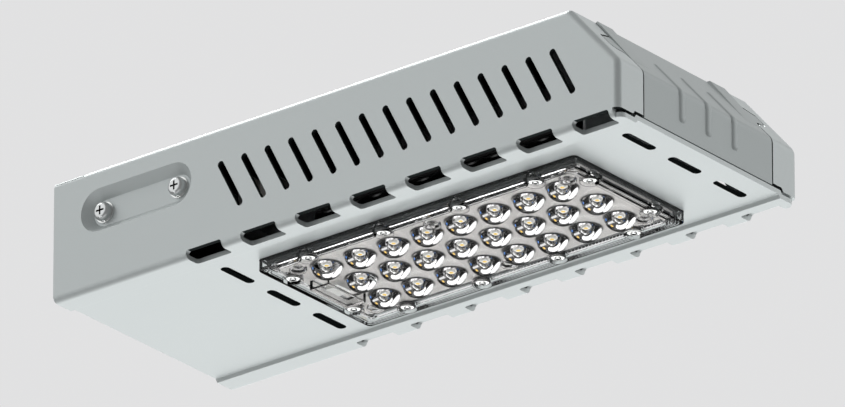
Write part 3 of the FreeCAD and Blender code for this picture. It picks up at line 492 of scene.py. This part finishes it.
def dressed(node, slot, edge, inside=None, sharp=38.0):
    bm = merged(node)
    # the faces that look inside get painted shade
    inner = paint_shade_inside(bm) if inside else 0
    if inside:
        print("slot corners eased:", widen_slots(bm, 0.25 * MM))
    mesh = bpy.data.meshes.new(node + "_surface")
    bm.to_mesh(mesh)
    bm.free()
    mesh.materials.append(finish[slot])
    if inside:
        mesh.materials.append(finish[inside])
    piece = shown(node + "_surface", mesh, [node], edge, sharp)
    print(node, "dressed:", len(mesh.polygons), "faces,", inner, "of them inside")
    return piece


# %% [markdown]
# ## Housing, caps, lid and sleeve
#
# These are pressed, folded or cast, and their forms come from the CAD model. What they need is an
# eased edge each: wider on the cast sleeve, narrow on the cut sheet.

# %% Housing and covers
# the housing's inside and its cut edges get painted shade, a matt dark material
dressed("housing", "housing_paint", 0.08 * MM, "housing_painted_shade")
dressed("nose_cap", "cap_paint", 0.2 * MM)
dressed("rear_cap", "cap_paint", 0.2 * MM)
dressed("top_lid", "lid_paint", 0.4 * MM)
dressed("arm_sleeve", "cast_aluminium", 0.5 * MM)
dressed("entry_seal", "seal_rubber", 0.2 * MM)
dressed("lid_gasket", "seal_rubber", 0.0)
sink = dressed("module_heat_sink", "black_anodised", 0.2 * MM)
sink.data.materials.append(finish["gloss_black"])
for face in sink.data.polygons:
    if abs(face.center.y) > 58 * MM:
        face.material_index = 1
dressed("module_seal", "seal_rubber", 0.0)

# %% [markdown]
# ## Where the repeated pieces are
#
# Screws and lamps come in groups, and each group is one CAD node of separate solids. Their places
# could be typed again, but the frame already holds them: each loose part of the node's mesh gives
# one box.

# %% Places from the frame
def solids_of(node):
    """The lowest and highest corner of each separate solid of a CAD node."""
    bm = bmesh.new()
    bm.from_mesh(cad[node].data)
    bmesh.ops.remove_doubles(bm, verts=bm.verts, dist=0.002 * MM)
    left = set(bm.verts)
    boxes = []
    while left:
        heap = [left.pop()]
        island = []
        while heap:
            vert = heap.pop()
            island.append(vert.co.copy())
            for edge in vert.link_edges:
                other = edge.other_vert(vert)
                if other in left:
                    left.remove(other)
                    heap.append(other)
        boxes.append((Vector(map(min, *island)), Vector(map(max, *island))))
    bm.free()
    return sorted(boxes, key=lambda pair: (round(pair[0].x, 4), round(pair[0].y, 4)))


for node in ("led_chips", "module_screws", "lid_screws", "side_screws"):
    print(node, len(solids_of(node)), "solids")

# %% [markdown]
# ## Screws
#
# A button head is turned, so its outline is spun round its axis. The socket is pressed: its mouth is a
# ring of points that is joined to the crown's ring, and its floor is that ring pushed in. One pattern is
# made at the origin, pointing up, and copied to each place.

# %% Screw helper
def lathe(bm, profile, steps=32, closed=True):
    """Spins an outline of (radius, height) points round Z."""
    verts = [bm.verts.new((radius, 0.0, height)) for radius, height in profile]
    edges = [bm.edges.new(pair) for pair in zip(verts, verts[1:])]
    bmesh.ops.spin(bm, geom=verts + edges, cent=(0, 0, 0), axis=(0, 0, 1), dvec=(0, 0, 0),
                   angle=2 * math.pi, steps=steps, use_merge=True, use_duplicate=False)
    bmesh.ops.remove_doubles(bm, verts=bm.verts, dist=0.001 * MM)


def hexagon(across):
    """Points round a hexagon, four to each side so that it joins a round ring evenly."""
    corners = [Vector((math.cos(math.radians(60 * i)), math.sin(math.radians(60 * i)), 0))
               * (across / math.sqrt(3)) for i in range(6)]
    return [corners[i].lerp(corners[(i + 1) % 6], k / 4) for i in range(6) for k in range(4)]


def cross(reach, half):
    """Points round a cross recess."""
    arm = [Vector((reach, -half, 0)), Vector((reach, half, 0)), Vector((half, half, 0))]
    return [Matrix.Rotation(math.radians(90 * i), 3, "Z") @ point for i in range(4) for point in arm]


def screw_form(shank, length, head, height, mouth, depth, taper=0.9, dome=0.55):
    """A screw pointing up, with its seat at 0: shank radius and length, head radius and height."""
    bm = bmesh.new()
    ring = max(point.length for point in mouth) * 1.12
    side = height * (1 - dome)
    crown = [(ring + (head - ring) * math.cos(a), side + (height - side) * math.sin(a))
             for a in [math.radians(15 * i) for i in range(7)]]
    lathe(bm, [(0.0, -length), (shank * 0.7, -length), (shank, -length + shank * 0.4), (shank, 0.0),
               (head - 0.15 * MM, 0.0), (head, 0.15 * MM)] + crown)
    rim = [edge for edge in bm.edges if edge.is_boundary]
    top = height
    points = [bm.verts.new(point + Vector((0, 0, top))) for point in mouth]
    loop = [bm.edges.new(pair) for pair in zip(points, points[1:] + points[:1])]
    bmesh.ops.bridge_loops(bm, edges=rim + loop)
    made = bmesh.ops.extrude_edge_only(bm, edges=loop)["geom"]
    floor_points = [part for part in made if isinstance(part, bmesh.types.BMVert)]
    for vert in floor_points:
        vert.co.x *= taper
        vert.co.y *= taper
        vert.co.z -= depth
    floor_edges = [part for part in made if isinstance(part, bmesh.types.BMEdge)
                   and all(vert in floor_points for vert in part.verts)]
    bmesh.ops.contextual_create(bm, geom=floor_edges)
    # the socket's walls and floor take the second material, painted shade
    for face in {face for vert in floor_points for face in vert.link_faces}:
        face.material_index = 1
    bmesh.ops.recalc_face_normals(bm, faces=bm.faces)
    return bm


def copies(name, pattern, places, slot, nodes, sharp=38.0, edge=0.0, material=None,
           second="socket_painted_shade"):
    """Joins one copy of the pattern at each (point, direction) into one piece."""
    mesh = bpy.data.meshes.new(name + "_pattern")
    pattern.to_mesh(mesh)
    pattern.free()
    whole = bmesh.new()
    for point, direction in places:
        before = len(whole.verts)
        whole.from_mesh(mesh)
        whole.verts.ensure_lookup_table()
        turn = Vector(direction).to_track_quat("Z", "Y").to_matrix().to_4x4()
        bmesh.ops.transform(whole, matrix=Matrix.Translation(point) @ turn, verts=whole.verts[before:])
    made = bpy.data.meshes.new(name)
    whole.to_mesh(made)
    whole.free()
    bpy.data.meshes.remove(mesh)
    made.materials.append(material or finish[slot])
    made.materials.append(finish[second])
    piece = shown(name, made, nodes, edge, sharp)
    print(name, len(places), "copies,", len(made.polygons), "faces")
    return piece


def middle(pair):
    return (pair[0] + pair[1]) / 2


# %% [markdown]
# ## Placing each kind of screw
#
# A solid's box gives the axis of its screw and the height of its crown. The head's size is named here
# and the seat follows from it.

# %% All the screws
def crown_places(node, axis, sign, height):
    """The seat of each screw: the middle of its box, at the crown's end less the head's height."""
    places = []
    for pair in solids_of(node):
        point = middle(pair)
        outward = sign if sign else (1 if point[axis] > 0 else -1)
        point[axis] = pair[1 if outward > 0 else 0][axis] - outward * height
        direction = Vector((0, 0, 0))
        direction[axis] = outward
        places.append((point, direction))
    return places


module_head = 2.1 * MM
copies("module_screw_set", screw_form(1.95 * MM, 9.9 * MM, 4.1 * MM, module_head, hexagon(2.2 * MM),
                                      1.2 * MM, dome=0.25),
       crown_places("module_screws", 2, -1, module_head), "stainless", ["module_screws"])
cap_head = 1.8 * MM
for node, axis, sign in (("lid_screws", 2, 1), ("nose_cap_screws", 2, 1), ("rear_cap_screws", 0, -1)):
    copies(node[:-1] + "_set", screw_form(1.95 * MM, 7.9 * MM, 3.6 * MM, cap_head, hexagon(2.5 * MM),
                                          1.0 * MM),
           crown_places(node, axis, sign, cap_head), "stainless", [node])
pan_head = 4.4 * MM
copies("side_screw_set", screw_form(2.9 * MM, 19.8 * MM, 5.75 * MM, pan_head,
                                    cross(2.9 * MM, 0.6 * MM), 1.9 * MM, dome=0.6),
       crown_places("side_screws", 1, 0, pan_head), "stainless", ["side_screws"],
       material=finish["dull_stainless"])

# %% [markdown]
# ## Sealing rings of the module's screws
#
# A screw that goes through an outdoor lens plate has a black ring under its head, which draws the
# dark circle round each bright head. It fills the rest of the sink's floor.

# %% Sealing rings
ring_form = bmesh.new()
ring_outline = [(4.15, 0.0), (4.15, 0.8), (4.5, 1.0), (5.1, 1.0), (5.5, 0.6), (5.5, 0.0), (4.15, 0.0)]
lathe(ring_form, [(radius * MM, height * MM) for radius, height in ring_outline])
bmesh.ops.recalc_face_normals(ring_form, faces=ring_form.faces)
copies("screw_seals", ring_form, crown_places("module_screws", 2, -1, module_head), "seal_rubber", None)

# %% [markdown]
# ## Lamps
#
# Each lamp is a small square of white ceramic with a round yellow window. One is made pointing up
# and copied to the underside of the board.

# %% Lamps
lamp_size, lamp_height, window = 3.5 * MM, 0.8 * MM, 1.25 * MM
lamp = bmesh.new()
bmesh.ops.create_cube(lamp, size=1.0, matrix=Matrix.Translation((0, 0, lamp_height / 2))
                      @ Matrix.Diagonal((lamp_size, lamp_size, lamp_height - 0.04 * MM, 1)))
body_faces = set(lamp.faces)
lathe(lamp, [(window, lamp_height - 0.1 * MM), (window, lamp_height), (0.0, lamp_height)], 20)
bmesh.ops.recalc_face_normals(lamp, faces=lamp.faces)
for face in lamp.faces:
    face.material_index = 0 if face in body_faces else 1
lamp_places = [(Vector((*middle(pair).xy, pair[1].z)), Vector((0, 0, -1)))
               for pair in solids_of("led_chips")]
copies("lamps", lamp, lamp_places, "phosphor", ["led_chips"], material=finish["lamp_ceramic"],
       second="phosphor")

# %% [markdown]
# ## Inner pieces
#
# The gear tray, the driver, the terminal block and the leads are hidden by the housing. They keep the
# CAD model's own meshes and get the finish that each one has.

# %% Inner pieces
# the board's finish is its pale mask with painted shade on it
inner_finish = {
    "side_washers": "stainless", "sleeve_set_screws": "stainless", "board_screws": "stainless",
    "module_board": "board_mask", "board_connector": "connector_nylon", "lead_gland": "gland_nylon", "module_lead": "lead_jacket", "supply_lead": "lead_jacket",
    "gear_tray": "zinc_steel", "tray_nuts": "zinc_steel", "driver": "driver_case",
    "driver_screws": "zinc_steel", "terminal_block": "terminal_nylon",
    "surge_protector": "surge_case", "block_screws": "zinc_steel",
}
for node, name in inner_finish.items():
    cad[node].data.materials.clear()
    cad[node].data.materials.append(finish[name])
print(len(inner_finish), "nodes keep their CAD mesh")

# %% [markdown]
# ## Lens module
#
# The lens plate is one moulding of clear plastic. Its border is thick and stands lowest. Inside the
# border a thin field lies close to the board and carries 24 domes, a cup over each board screw
# and a box over the lead's connector. Each dome has a small hollow round its lamp. Light that enters
# a dome from below is turned back by the flat face above it, and that is what draws black and white
# shapes in the domes. So the plate is modelled as one closed solid, by two booleans.

# %% Forms of the lens plate
plate_low, plate_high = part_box("lens_plate")
dome_radius, dome_height = 9.2 * MM, 7.7 * MM
field_low = plate_low.z + dome_height
field_high = field_low + 1.2 * MM
border_low = field_low - 2.7 * MM
plate_middle = (plate_low + plate_high) / 2
plate_half = (plate_high - plate_low) / 2
field_half = Vector((plate_half.x - 8.6 * MM, plate_half.y - 6.7 * MM))
chips = [middle(pair) for pair in solids_of("led_chips")]
screws = [middle(pair) for pair in solids_of("module_screws")]
cups = [middle(pair) for pair in solids_of("board_screws")]


def closed(bm):
    bmesh.ops.recalc_face_normals(bm, faces=bm.faces)
    return bm


def pillow(half_x, half_y, levels, corner, steps=5, tooth=0.0, teeth=0, open_ring=False):
    """A closed form with rounded corners: each level is a height and how far it is inset.

    The far long side may be a row of teeth. An open ring is a frame: its last level meets its first."""
    bm = bmesh.new()
    rings = []
    for height, inset in levels:
        radius = max(corner - inset, 0.2 * MM)
        ring = []
        for turn, (sx, sy) in enumerate(((1, 1), (-1, 1), (-1, -1), (1, -1))):
            for k in range(steps + 1):
                angle = math.pi / 2 * (turn + k / steps)
                ring.append(bm.verts.new((
                    plate_middle.x + sx * (half_x - inset - radius) + radius * math.cos(angle),
                    plate_middle.y + sy * (half_y - inset - radius) + radius * math.sin(angle), height)))
            if teeth and turn == 0:
                for k in range(1, 2 * teeth):
                    ring.append(bm.verts.new((
                        plate_middle.x + (1 - k / teeth) * (half_x - inset - radius),
                        plate_middle.y + half_y - inset - tooth * (k % 2), height)))
        rings.append(ring)
    pairs = list(zip(rings, rings[1:])) + ([(rings[-1], rings[0])] if open_ring else [])
    for low, high in pairs:
        for k in range(len(low)):
            after = (k + 1) % len(low)
            bm.faces.new((low[k], low[after], high[after], high[k]))
    if not open_ring:
        bm.faces.new(rings[0])
        bm.faces.new(rings[-1])
    return closed(bm)


def turned(spot, profile, steps=32):
    """A solid spun from an outline, standing at the spot's X and Y."""
    bm = bmesh.new()
    lathe(bm, profile, steps)
    bmesh.ops.translate(bm, vec=(spot.x, spot.y, 0), verts=bm.verts)
    return closed(bm)


def arc(radius, depth, top, steps, last=90):
    """Points of a quarter ellipse that goes down from the rim at the top."""
    return [(radius * math.cos(math.radians(last * k / steps)),
             top - depth * math.sin(math.radians(last * k / steps))) for k in range(steps + 1)]


def disc(spot, low, high, radius, ease=0.2 * MM, steps=36):
    return turned(spot, [(0.0, low), (radius - ease, low), (radius, low + ease), (radius, high),
                         (0.0, high)], steps)


def block(low, high):
    bm = bmesh.new()
    size = Vector(high) - Vector(low)
    at = (Vector(high) + Vector(low)) / 2
    bmesh.ops.create_cube(bm, size=1.0, matrix=Matrix.Translation(at) @ Matrix.Diagonal((*size, 1)))
    return bm


def dome_form(spot):
    curve = arc(dome_radius, dome_height, field_low, 20)
    return turned(spot, [(0.0, field_high - 0.3 * MM), (dome_radius, field_high - 0.3 * MM)]
                  + curve[:-1] + [(0.0, field_low - dome_height)], 60)


def hollow_form(spot, radius=3.2 * MM):
    curve = arc(radius, radius, field_high, 10)
    return turned(spot, [(0.0, field_high + 1 * MM), (radius, field_high + 1 * MM)] + curve[:-1]
                  + [(0.0, field_high - radius)], 32)


print("domes", len(chips), "screws", len(screws), "cups", len(cups))

# %% [markdown]
# ## Joining the forms

# %% Lens plate
def joined(name, pieces, operation, base):
    """Adds or cuts closed bmeshes to the base object with one boolean."""
    mesh = bpy.data.meshes.new(name)
    whole = bmesh.new()
    for bm in pieces:
        part = bpy.data.meshes.new("part")
        bm.to_mesh(part)
        bm.free()
        whole.from_mesh(part)
        bpy.data.meshes.remove(part)
    whole.to_mesh(mesh)
    whole.free()
    other = bpy.data.objects.new(name, mesh)
    bpy.context.scene.collection.objects.link(other)
    cut = base.modifiers.new(name, "BOOLEAN")
    cut.operation = operation
    cut.object = other
    cut.solver = "EXACT"
    cut.use_self = True
    bpy.context.view_layer.update()
    result = bpy.data.meshes.new_from_object(base.evaluated_get(bpy.context.evaluated_depsgraph_get()))
    base.modifiers.clear()
    old = base.data
    base.data = result
    bpy.data.meshes.remove(old)
    bpy.data.objects.remove(other)
    bpy.data.meshes.remove(mesh)
    return len(result.polygons)


inlet = Vector((146.0 * MM, 0.0))
inlet_half = Vector((7.0 * MM, 17.0 * MM))
inlet_low = border_low - 3.2 * MM
plate_mesh = bpy.data.meshes.new("lens_plate_moulding")
slab_form = pillow(plate_half.x, plate_half.y,
                   [(border_low, 0.5 * MM), (border_low + 0.5 * MM, 0.0), (plate_high.z, 0.0)], 3 * MM)
slab_form.to_mesh(plate_mesh)
slab_form.free()
plate_mesh.materials.append(finish["clear_optic"])
plate = bpy.data.objects.new("lens_plate_moulding", plate_mesh)
bpy.context.scene.collection.objects.link(plate)
over, under = plate_high.z + 1 * MM, inlet_low - 2 * MM
wall = 2.5 * MM
room = [pillow(plate_half.x - wall, plate_half.y - wall, [(border_low + 2.5 * MM, 0.0), (over, 0.0)],
               1 * MM, tooth=0.8 * MM, teeth=90)]
grooves = [pillow(plate_half.x - inset, plate_half.y - inset,
                  [(border_low - 0.3 * MM, -0.2 * MM), (border_low - 0.3 * MM, 1.0 * MM),
                   (border_low + 0.5 * MM, 0.4 * MM)], 4 * MM, open_ring=True)
           for inset in (1.5 * MM, 2.9 * MM, 4.3 * MM)]
print("opened:", joined("room", room + grooves, "DIFFERENCE", plate), "faces")
added = [pillow(field_half.x + 1.5 * MM, field_half.y + 1.5 * MM,
                [(border_low + 0.3 * MM, 0.0), (field_high, 0.0)], 5.5 * MM)]
print("field:", joined("field", added, "UNION", plate), "faces")
recess = [pillow(field_half.x, field_half.y,
                 [(border_low - 1 * MM, -1.1 * MM), (border_low + 0.9 * MM, -0.9 * MM),
                  (border_low + 1.0 * MM, 0.0), (field_low, 0.2 * MM)], 4 * MM)]
print("recess:", joined("recess", recess, "DIFFERENCE", plate), "faces")
added = [block((inlet.x - inlet_half.x, -inlet_half.y, inlet_low),
               (inlet.x + inlet_half.x, inlet_half.y, field_high - 0.1 * MM))]
added += [disc(spot, border_low + 0.02 * MM, field_high - 0.1 * MM, 6.2 * MM) for spot in screws]
added += [disc(spot, field_high - 0.2 * MM, field_high + 1.8 * MM, 4.6 * MM) for spot in screws]
added += [disc(spot, field_low - 2 * MM, field_high - 0.1 * MM, 5.3 * MM, 0.4 * MM) for spot in cups]
added += [dome_form(spot) for spot in chips]
print("with domes:", joined("domes", added, "UNION", plate), "faces")
removed = [block((inlet.x - inlet_half.x + 1.5 * MM, -inlet_half.y + 1.5 * MM, inlet_low + 1.5 * MM),
                 (inlet.x + inlet_half.x - 1.5 * MM, inlet_half.y - 1.5 * MM, over))]
removed += [disc(spot, under, over, 2.15 * MM, 0.0) for spot in screws]
removed += [turned(spot, [(0.0, under), (5.6 * MM, under), (5.6 * MM, border_low + 2.9 * MM),
                          (0.0, border_low + 2.9 * MM)], 36) for spot in screws]
removed += [disc(spot, field_low - 1 * MM, over, 4.3 * MM, 0.4 * MM) for spot in cups]
removed += [hollow_form(spot) for spot in chips]
print("with hollows:", joined("hollows", removed, "DIFFERENCE", plate), "faces")
plate_mesh = plate.data
for face in plate_mesh.polygons:
    face.use_smooth = True
plate_mesh.set_sharp_from_angle(angle=math.radians(30))
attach(plate, "root")
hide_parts("lens_plate")
plate.visible_shadow = False
